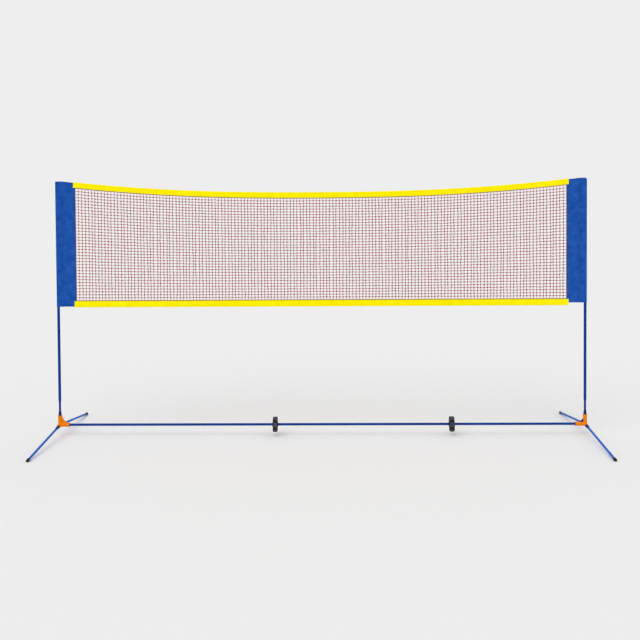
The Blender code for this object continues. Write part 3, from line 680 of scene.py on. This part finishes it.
def make_disc(side):
    """A six-lobed foam disc on its flanged sleeve."""
    matrix = at(DISC_PLACES[side], 0, BAR_HEIGHT) @ Matrix.Rotation(math.pi / 2, 4, "Y")
    barrel = BAR_BORE + DISC_SLEEVE_WALL
    flange = barrel + GAP + DISC_FLANGE_HEIGHT
    half = DISC_THICKNESS / 2 + GAP
    end = half + DISC_FLANGE_LENGTH
    slope = DISC_FLANGE_LENGTH / 2
    profile = [(barrel, end), (flange, end - slope), (flange, half), (barrel, half)]
    profile += [(barrel, -half), (flange, -half), (flange, slope - end), (barrel, -end)]
    profile += [(BAR_BORE, -end), (BAR_BORE, end)]
    mesh = lathe(profile, matrix, FLANGE_EASE, FINE_STEPS)
    name = "disc_sleeve_" + side
    stand_in(name, "moulded", mesh, DARK_NAVY, name, "ferrule_plastic")

    # Rings from the middle of the hole over the front face to the rim, then back behind
    half = DISC_THICKNESS / 2
    hole = barrel + GAP
    front = [("hole", 0.0, 0.0), ("hole", 0.0, half - DISC_HOLE_EDGE), ("hole", DISC_HOLE_EDGE, half)]
    front += [("edge", inset, half - depth) for inset, depth in DISC_GROOVE]
    for turn in np.linspace(0, math.pi / 2, 6):
        front.append(("edge", DISC_EDGE * (1 - math.sin(turn)), half - DISC_EDGE * (1 - math.cos(turn))))
    rings = front + [(kind, inset, -height) for kind, inset, height in reversed(front[1:])]
    points, faces, grooves = [], [], []
    for kind, inset, height in rings:
        for step in range(DISC_STEPS):
            angle = 2 * math.pi * step / DISC_STEPS
            from_lobe = angle + math.pi / 2 + DISC_LOBE_TILT
            notch = (0.5 - 0.5 * math.cos(DISC_LOBES * from_lobe)) ** DISC_NOTCH_SHARPNESS
            edge = DISC_RADIUS - DISC_NOTCH * notch
            radius = hole + inset if kind == "hole" else edge - inset
            points.append(matrix @ Vector((radius * math.cos(angle), radius * math.sin(angle), height)))
            # Each rim point's notch share, which the foam material darkens as painted shade
            grooves.append((notch if kind == "edge" and inset <= DISC_EDGE else 0.0, 0.0))
    for ring in range(len(rings)):
        first, second = ring * DISC_STEPS, (ring + 1) % len(rings) * DISC_STEPS
        for step in range(DISC_STEPS):
            after = (step + 1) % DISC_STEPS
            faces.append([first + step, second + step, second + after, first + after])
    mesh = mesh_from(points, faces, 40)
    add_uv(mesh, grooves, "groove")
    name = "star_disc_" + side
    stand_in(name, "foam", mesh, FOAM, name, "disc_rubber")


# Cloth

def shell(outer, inner, flat):
    """Closed cloth from two grids of points, outside and inside, with rims on all four edges."""
    rows, columns = len(outer), len(outer[0])
    size = rows * columns
    points = [p for row in outer for p in row] + [p for row in inner for p in row]
    faces = []
    for row in range(rows - 1):
        for column in range(columns - 1):
            a = row * columns + column
            b, c, d = a + 1, a + columns + 1, a + columns
            faces.append([a, b, c, d])
            faces.append([size + d, size + c, size + b, size + a])
    for column in range(columns - 1):
        low, high = column, (rows - 1) * columns + column
        faces.append([low + 1, low, size + low, size + low + 1])
        faces.append([high, high + 1, size + high + 1, size + high])
    for row in range(rows - 1):
        first = row * columns
        last = first + columns - 1
        faces.append([first, first + columns, size + first + columns, size + first])
        faces.append([last + columns, last, size + last, size + last + columns])
    mesh = mesh_from(points, faces, 50)
    add_uv(mesh, [p for row in flat for p in row] * 2)
    return mesh


def stitch_row(path, length, gap, radius):
    """Short threads laid along a path of (point, outward direction)."""
    points, faces = [], []
    stations = [0.0]
    for (a, _), (b, _) in zip(path, path[1:]):
        stations.append(stations[-1] + (b - a).length)
    spots = [Vector(p) for p, _ in path]
    outs = [Vector(n) for _, n in path]

    def along(distance):
        index = int(np.searchsorted(stations, distance, side="right")) - 1
        index = max(0, min(len(path) - 2, index))
        share = (distance - stations[index]) / (stations[index + 1] - stations[index])
        out = outs[index].lerp(outs[index + 1], share).normalized()
        return spots[index].lerp(spots[index + 1], share), out

    start = gap
    while start + length < stations[-1] - gap:
        (a, out_a), (b, out_b) = along(start), along(start + length)
        forward = (b - a).normalized()
        first = len(points)
        for share, girth, rise in STITCH_RINGS:
            out = out_a.lerp(out_b, share)
            across = forward.cross(out).normalized()
            middle = a.lerp(b, share) + out * (STITCH_LIFT + rise * radius)
            for wide, high in ((girth, 0), (0, girth), (-girth, 0), (0, -girth)):
                points.append(middle + across * wide * radius + out * high * radius)
        for ring in range(3):
            for side in range(4):
                i, j = first + ring * 4 + side, first + ring * 4 + (side + 1) % 4
                faces.append([i, i + 4, j + 4, j])
        faces.append([first, first + 1, first + 2, first + 3])
        faces.append([first + 15, first + 14, first + 13, first + 12])
        start += length + gap
    return points, faces


def plan_line(radius, half):
    """The sleeve's cloth in plan: along the front panel, round the post, and back along the rear panel."""
    def on_pocket(angle):
        return Vector((radius * math.cos(angle), radius * math.sin(angle)))

    turn = math.atan2(half, SLEEVE_SEAM) + math.acos(radius / math.hypot(SLEEVE_SEAM, half))
    touch = on_pocket(turn)
    seam = Vector((SLEEVE_SEAM, half))
    edge = Vector((SLEEVE_WIDTH, half))
    line = [edge.lerp(seam, step / PANEL_STEPS) for step in range(PANEL_STEPS)]
    line += [seam.lerp(touch, step / FLANK_STEPS) for step in range(FLANK_STEPS)]
    rear = line[::-1]
    for step in range(POCKET_STEPS + 1):
        line.append(on_pocket(turn + (2 * math.pi - 2 * turn) * step / POCKET_STEPS))
    return [Vector((p.x, -p.y)) for p in line] + rear


def sleeve_top(side, x):
    """The height of the sleeve's top edge, where x runs from the post's axis towards the net."""
    lap_start = SLEEVE_WIDTH - LAP - GAP
    lap_top = TOP_EDGE - FOLD_DEPTH
    corner = SLEEVE_CORNER[side]
    outside = x + POCKET_RADIUS + CLOTH
    if outside < corner:
        return NET_TOP - corner * (1 - math.sqrt(max(0.0, 1 - ((corner - outside) / corner) ** 2)))
    if x <= SLEEVE_SLOPE_START:
        return NET_TOP
    if x <= lap_start:
        return NET_TOP + (lap_top - NET_TOP) * (x - SLEEVE_SLOPE_START) / (lap_start - SLEEVE_SLOPE_START)
    return lap_top - sag(POST_X - x) + sag(POST_X - lap_start)


def panel_window(x):
    """1 where the panel is free to crease, 0 at the post and where the net holds it."""
    return ease_step(x, *PANEL_LOOSE) * (1 - ease_step(x, *PANEL_HELD))


def panel_sway(x, z, seed):
    """How far the flat panel leans out of the net's plane."""
    return PANEL_SWAY * panel_window(x) * ripple(x, z, seed, 14, 6)


def panel_swell(x, z, seed, face):
    """How far one of the panel's two layers stands off the other."""
    folds = ripple(x + 0.5 * z, z, seed + face, 30, 9) + 0.6 * ripple(x, z, seed + 2 * face, 70, 26)
    return panel_window(x) * (PANEL_SWELL + PANEL_FOLDS * max(-0.6, folds))


def sleeve_surface(side, x, y, z, half, seed):
    """Moves a point of the plan line to its place on the real, slightly creased sleeve."""
    below = sleeve_top(side, x) - z
    closing = math.sin(math.pi / 2 * min(1.0, max(0.0, below) / PANEL_CLOSING))
    face = -1 if y < 0 else 1
    depth = half + (abs(y) - half) * closing
    depth += panel_swell(x, z, seed, face) * closing
    return Vector((x, face * depth + panel_sway(x, z, seed), z))


def make_sleeve(side):
    """A pocket over the post and a flat double panel, of one cloth folded round and sewn."""
    seed = 1 if side == "left" else 5
    bottom = SLEEVE_BOTTOM[side]
    matrix = at(SIDES[side] * POST_X, 0, 0) @ Matrix.Rotation(0 if side == "left" else math.pi, 4, "Z")
    outer_line = plan_line(POCKET_RADIUS + CLOTH, PANEL_HALF)
    inner_line = plan_line(POCKET_RADIUS, PANEL_HALF - CLOTH)
    lengths = [0.0]
    for a, b in zip(outer_line, outer_line[1:]):
        lengths.append(lengths[-1] + (b - a).length)
    shares = [0.0]
    for stretch in SLEEVE_ROWS:
        shares += list(np.linspace(*stretch))[1:]
    outer, inner, flat = [], [], []
    for share in shares:
        for grid in (outer, inner, flat):
            grid.append([])
        for out_point, in_point, length in zip(outer_line, inner_line, lengths):
            x = out_point.x
            z = bottom + (sleeve_top(side, x) - bottom) * share
            hem = HEM_SWELL * (1 - ease_step(z - bottom, *HEM_TOP)) * (1 - ease_step(x, *HEM_END))
            pull = EDGE_PULL * ripple(0.3, z, seed + 3, 1, 24) * ease_step(x, EDGE_PULL_START, SLEEVE_WIDTH)
            slack = CLOTH * 0.5 * (1 + ripple(0.1, z, seed + 4, 1, 9)) * ease_step(-x, *POCKET_SLACK) * 0.5
            place = sleeve_surface(side, x, out_point.y, z, PANEL_HALF + hem, seed)
            place.x += pull - slack
            outer[-1].append(matrix @ place)
            place = sleeve_surface(side, in_point.x, in_point.y, z, PANEL_HALF - CLOTH, seed)
            place.x += pull
            inner[-1].append(matrix @ place)
            flat[-1].append((length, z))
    mesh = shell(inner, outer, flat)
    sleeve = piece(f"sleeve_{side}_cloth", mesh, SLEEVE_BLUE, "net_set", "sleeve_fabric", "sleeve_" + side)

    def on_panel(x, z, face):
        place = sleeve_surface(side, x, face * PANEL_HALF, z, PANEL_HALF, seed)
        return matrix @ place, matrix.to_3x3() @ Vector((0, face, 0))

    # Two rows of stitches beside the post, one beside the net, one along the hem and one along the top
    rows = []
    full = np.linspace(bottom + 0.003, NET_TOP - 0.010, 160)
    low = BOTTOM_EDGE + BOTTOM_TAPE_HEIGHT + 0.004
    high = TOP_EDGE - TOP_TAPE_HEIGHT - 0.010
    beside_net = np.linspace(low, high, 150)
    across = np.linspace(SLEEVE_SEAM + CROSS_ROW_START, HEM_END[1], 20)
    for face in (-1, 1):
        for offset in SEAM_ROWS:
            rows.append([on_panel(SLEEVE_SEAM + offset, z, face) for z in full])
        rows.append([on_panel(SLEEVE_WIDTH - LAP_ROW, z, face) for z in beside_net])
        rows.append([on_panel(x, bottom + HEM_SEAM, face) for x in across])
        rows.append([on_panel(x, sleeve_top(side, x) - TOP_ROW, face) for x in across])
    threads = joined([stitch_row(row, *SLEEVE_STITCH) for row in rows])
    threads.shade_smooth()
    stitching = piece(f"sleeve_{side}_stitching", threads, BLUE_THREAD, "net_set", "sleeve_fabric")


def make_tape(name, edge, height, droop, seed):
    """A tape folded over an edge of the net. A negative height folds it up from below."""
    up = 1 if height > 0 else -1
    depth = abs(height)
    stations = np.linspace(-1, 1, TAPE_STATIONS)

    def section(half, top):
        """(y, depth below the fold) from the front edge over the fold to the rear edge."""
        flank = [depth - (depth - half - top) * step / TAPE_STEPS for step in range(TAPE_STEPS)]
        line = [(-half, below) for below in flank]
        for step in range(FOLD_STEPS + 1):
            angle = math.pi * step / FOLD_STEPS
            line.append((-half * math.cos(angle), top + half - half * math.sin(angle)))
        return line + [(half, below) for below in reversed(flank)]

    outside = section(TAPE_FOLD, 0.0)
    inside = section(TAPE_FOLD - TAPE_CLOTH, TAPE_CLOTH)
    lengths = [0.0]
    for (ya, da), (yb, db) in zip(outside, outside[1:]):
        lengths.append(lengths[-1] + math.hypot(yb - ya, db - da))

    def place(y, below, share):
        """A point of the section on the real, slightly uneven tape."""
        x = TAPE_HALF * share
        slope = (sag(x + 0.001) - sag(x - 0.001)) / 0.002 if droop else 0.0
        fray = TAPE_WANDER * ripple(x, 0, seed, 9, 1) + TAPE_FRAY * ripple(x, 0, seed + 1, 60, 1)
        low = ease_step(below, 0.3 * depth, depth)
        face = -1 if y < 0 else 1
        folds = ripple(x, below, seed + 2 + face, 16, 20) + 0.5 * ripple(x, below, seed + 5 + face, 75, 30)
        bow = math.sin(math.pi * min(1.0, below / depth)) ** 0.8
        swell = (TAPE_SWELL + TAPE_FOLDS * max(-0.5, folds)) * bow
        swell *= ease_step(TAPE_HALF - abs(x), 0.0, 0.03)
        lean = TAPE_LEAN * ripple(x, 0, seed + 9, 4, 1) * ease_step(TAPE_HALF - abs(x), 0.01, 0.08)
        # The top tape's section leans with its slope, and a little more at the ends
        shift = (below - depth / 2) * (slope * TAPE_SHEAR + TAPE_TURN * share ** 7 if droop else 0.0)
        z = edge - up * (below - fray * low) - (sag(x) if droop else 0.0)
        return Vector((x + shift, y + face * swell + lean, z))

    outer = [[place(y, below, s) for s in stations] for y, below in outside]
    inner = [[place(y, below, s) for s in stations] for y, below in inside]
    flat = [[(TAPE_HALF * s, length) for s in stations] for length in lengths]
    mesh = shell(outer, inner, flat) if up > 0 else shell(inner, outer, flat)
    tape = piece(name + "_cloth", mesh, YELLOW, "net_set", "tape_fabric", name)

    rows = []
    for face in (-1, 1):
        for below in (depth - TAPE_ROWS[0], TAPE_ROWS[1]):
            spots = np.linspace(-0.998, 0.998, 700)
            rows.append([(place(face * TAPE_FOLD, below, s), Vector((0, face, 0))) for s in spots])
    threads = joined([stitch_row(row, *TAPE_STITCH) for row in rows])
    threads.shade_smooth()
    stitching = piece(name + "_stitching", threads, YELLOW_THREAD, "net_set", "tape_fabric")


# Net

def tubes(lines, radii, first_axis, second_axis):
    """Four-sided tubes along many lines at once. lines is (count, points, 3), radii (count, points)."""
    count, length = lines.shape[:2]
    offsets = np.stack([first_axis, second_axis, -first_axis, -second_axis])
    points = lines[:, :, None, :] + radii[:, :, None, None] * offsets[None, None]
    index = np.arange(count * length * 4).reshape(count, length, 4)
    beside = np.roll(index, -1, axis=2)
    quads = np.stack([index[:, :-1], beside[:, :-1], beside[:, 1:], index[:, 1:]], axis=-1)
    ends = np.concatenate([index[:, 0, ::-1], index[:, -1]])
    return points.reshape(-1, 3), np.concatenate([quads.reshape(-1, 4), ends])


def make_net():
    """Twine columns and rows, knotted where they cross, hung between the tapes."""
    rng = np.random.default_rng(NET_SEED)
    columns, rows = NET_COLUMNS + 1, NET_ROWS + 1
    reach = NET_HALF - SELVAGE_RADIUS
    base_x = np.linspace(-reach, reach, columns)
    droop = TOP_SAG * (1 - (np.abs(base_x) / TAPE_HALF) ** SAG_POWER)
    low = BOTTOM_EDGE + BOTTOM_TAPE_HEIGHT + EDGE_LINE_INSET
    high = TOP_EDGE - TOP_TAPE_HEIGHT - EDGE_LINE_INSET - droop
    share = np.linspace(0, 1, rows)
    z = low + (high[:, None] - low) * share[None, :]
    x = np.repeat(base_x[:, None], rows, axis=1)
    drift = np.cumsum(rng.normal(0, NET_DRIFT, (columns, rows)), axis=1)
    drift -= drift[:, :1] + (drift[:, -1:] - drift[:, :1]) * share[None, :]
    inside = np.ones((columns, rows))
    inside[[0, -1], :] = 0
    x = x + inside * (drift + rng.normal(0, SPREAD_X, (columns, rows)))
    sway = inside * rng.normal(0, SPREAD_Z, (columns, rows))
    sway[:, [0, -1]] = 0
    z = z + sway
    belly = np.sin(math.pi * share)[None, :] * inside
    y = belly * np.array([[NET_BELLY * ripple(a, b, 2, 1.3, 1.1) for b in share] for a in base_x])
    y = y + inside * rng.normal(0, SPREAD_Y, (columns, rows))
    crossings = np.stack([x, y, z], axis=-1)

    ax, ay, az = np.eye(3)
    top = crossings[:, -1:].copy()
    top[..., 1] = 0
    top[:, 0, 2] = TOP_EDGE - FOLD_DEPTH - droop - TOP_TUCK
    foot = crossings[:, :1].copy()
    foot[..., 1] = 0
    foot[:, 0, 2] = BOTTOM_EDGE + TAPE_CLOTH + FOOT_TUCK
    uprights = np.concatenate([foot, crossings, top], axis=1)
    thick = np.full(uprights.shape[:2], TWINE_RADIUS)
    thick[[0, -1], :] = SELVAGE_RADIUS
    lines = [tubes(uprights, thick, ax, ay)]

    across = crossings.transpose(1, 0, 2)
    thick = np.full(across.shape[:2], TWINE_RADIUS)
    thick[[0, -1], :] = EDGE_LINE_RADIUS
    lines.append(tubes(across, thick, ay, az))

    knots = crossings[1:-1, 1:-1].reshape(-1, 3)
    count = len(knots)
    lean = np.radians(KNOT_LEAN + rng.normal(0, KNOT_LEAN_SPREAD, count))
    length = KNOT_LENGTH * (1 + rng.normal(0, KNOT_SIZE_SPREAD, count))
    girth = KNOT_GIRTH * (1 + rng.normal(0, KNOT_SIZE_SPREAD, count))
    axis = np.stack([np.cos(lean), np.zeros(count), np.sin(lean)], axis=-1) * length[:, None]
    side = np.stack([-np.sin(lean), np.zeros(count), np.cos(lean)], axis=-1) * girth[:, None]
    depth = ay * KNOT_FLATNESS * girth[:, None]
    # A front and a rear ring, turned half a step apart, so that twice their corners show from the front
    corners = [knots - depth, knots + depth]
    for ring, step in itertools.product((0, 1), range(KNOT_SIDES)):
        angle = 2 * math.pi * (step + ring / 2) / KNOT_SIDES
        spread = axis * math.cos(angle) + side * math.sin(angle)
        lump = KNOT_FULLNESS + KNOT_LUMPS * rng.normal(0, 1, count)
        corners.append(knots + depth * (ring - 0.5) + spread * lump[:, None])
    knot_points = np.stack(corners, axis=1).reshape(-1, 3)
    start = len(corners) * np.arange(count)
    triangles = []
    for step in range(KNOT_SIDES):
        a, b = start + 2 + step, start + 2 + (step + 1) % KNOT_SIDES
        rear_a, rear_b = a + KNOT_SIDES, b + KNOT_SIDES
        for face in ((start, a, b), (b, a, rear_a), (b, rear_a, rear_b), (start + 1, rear_b, rear_a)):
            triangles.append(np.stack(face, axis=-1))
    knot_faces = np.concatenate(triangles).tolist()

    points = np.concatenate([lines[0][0], lines[1][0]])
    faces = np.concatenate([lines[0][1], lines[1][1] + len(lines[0][0])])
    mesh = raw_mesh(points.tolist(), faces.tolist())
    mesh.shade_smooth()
    net = piece("net_mesh_twine", mesh, MAROON, "net_set", "net_cord", "net_mesh")
    mesh = raw_mesh(knot_points.tolist(), knot_faces)
    mesh.shade_smooth()
    tied = piece("net_mesh_knots", mesh, MAROON, "net_set", "net_cord")
    # The cut is open mesh, so its area is that of its twine laid flat: length times half the girth
    cut_width, cut_height = 2 * NET_HALF, TOP_EDGE - BOTTOM_EDGE - FOLD_ROOM
    heights = cut_height - droop
    laid = TWINE_RADIUS * (heights[1:-1].sum() + (rows - 2) * cut_width)
    laid += SELVAGE_RADIUS * (heights[0] + heights[-1]) + EDGE_LINE_RADIUS * 2 * cut_width


# CAD pieces that keep their shape

def finish_cad(names, material):
    for name in names:
        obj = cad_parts[name]
        if not obj.material_slots:
            obj.data.materials.append(material)
        for slot in obj.material_slots:
            slot.link = "OBJECT"
            slot.material = material


# Stage

def make_stage():
    """A pale floor that meets a backdrop of the same shade, a soft sun and an even sky."""
    corners = [(-1, -1), (1, -1), (1, 1), (-1, 1)]
    points = [(FLOOR_HALF * x, FLOOR_HALF * y, -FLOOR_DROP) for x, y in corners]
    mesh = raw_mesh(points, [(0, 1, 2, 3)])
    floor = new_object("floor", mesh)
    material, _, shader = new_material("floor", 0.0)
    shader.inputs["Base Color"].default_value = (PALE, PALE, PALE, 1)
    shader.inputs["Roughness"].default_value = 1.0
    mesh.materials.append(material)

    world = bpy.data.worlds.new("studio")
    bpy.context.scene.world = world
    world.use_nodes = True
    tree = world.node_tree
    tree.nodes.clear()
    ray = node(tree, "ShaderNodeLightPath").outputs
    seen = math_node(tree, "MAXIMUM", ray["Is Camera Ray"], ray["Is Glossy Ray"])
    seen = math_node(tree, "MAXIMUM", seen, ray["Is Transmission Ray"])
    light = node(tree, "ShaderNodeBackground", {"Color": (1, 1, 1, 1), "Strength": SKY_STRENGTH})
    backdrop = node(tree, "ShaderNodeBackground", {"Color": (PALE, PALE, PALE, 1), "Strength": 1.0})
    both = node(tree, "ShaderNodeMixShader", {0: seen, 1: light.outputs[0], 2: backdrop.outputs[0]})
    node(tree, "ShaderNodeOutputWorld", {"Surface": both.outputs[0]})

    sun = bpy.data.lights.new("sun", "SUN")
    sun.energy = (1 - SKY_STRENGTH) * math.pi / math.sin(SUN_HEIGHT)
    sun.angle = SUN_SPREAD
    lamp = new_object("sun", sun)
    level = math.cos(SUN_HEIGHT)
    towards = Vector((-math.sin(SUN_TURN) * level, -math.cos(SUN_TURN) * level, math.sin(SUN_HEIGHT)))
    lamp.rotation_mode = "QUATERNION"
    lamp.rotation_quaternion = towards.to_track_quat("Z", "Y")


def make_camera():
    """The photograph's view: a little right of centre, chest high, looking slightly down."""
    cy, sy = math.cos(CAMERA_YAW), math.sin(CAMERA_YAW)
    ct, st = math.cos(CAMERA_TILT), math.sin(CAMERA_TILT)
    cr, sr = math.cos(CAMERA_ROLL), math.sin(CAMERA_ROLL)
    right = Vector((cy, -sy, 0))
    up = Vector((st * sy, st * cy, ct))
    ahead = Vector((ct * sy, ct * cy, -st))
    rotation = Matrix((cr * right - sr * up, sr * right + cr * up, -ahead)).transposed()
    data = bpy.data.cameras.new("camera")
    data.sensor_width = SENSOR_WIDTH
    data.lens = FOCAL_PIXELS * SENSOR_WIDTH / PHOTO_SIDE
    data.shift_y = -(PHOTO_SIDE / 2 - PRINCIPAL_ROW) / PHOTO_SIDE
    data.clip_end = 200
    camera = new_object("camera", data)
    camera.matrix_world = at(*CAMERA_PLACE) @ rotation.to_4x4()
    bpy.context.scene.camera = camera


make_camera()
make_stage()
make_bar()
make_wedge("right")
for side in SIDES:
    make_hub(side)
    make_post(side)
    make_disc(side)
    for end in ENDS:
        make_leg(side, end)
    make_sleeve(side)
    finish_cad(["post_upper_" + side], NAVY)
    finish_cad([f"post_{part}_{side}" for part in ("bush", "plug", "cap")], BLACK)
finish_cad([f"bar_joiner_{index}" for index in (1, 2, 3)], BLACK)
finish_cad(["head_cord"], CORD_BLUE)
make_net()
make_tape("top_tape", TOP_EDGE, TOP_TAPE_HEIGHT, True, 20)
make_tape("bottom_tape", BOTTOM_EDGE, -BOTTOM_TAPE_HEIGHT, False, 40)

bpy.context.scene.view_settings.view_transform = "Standard"
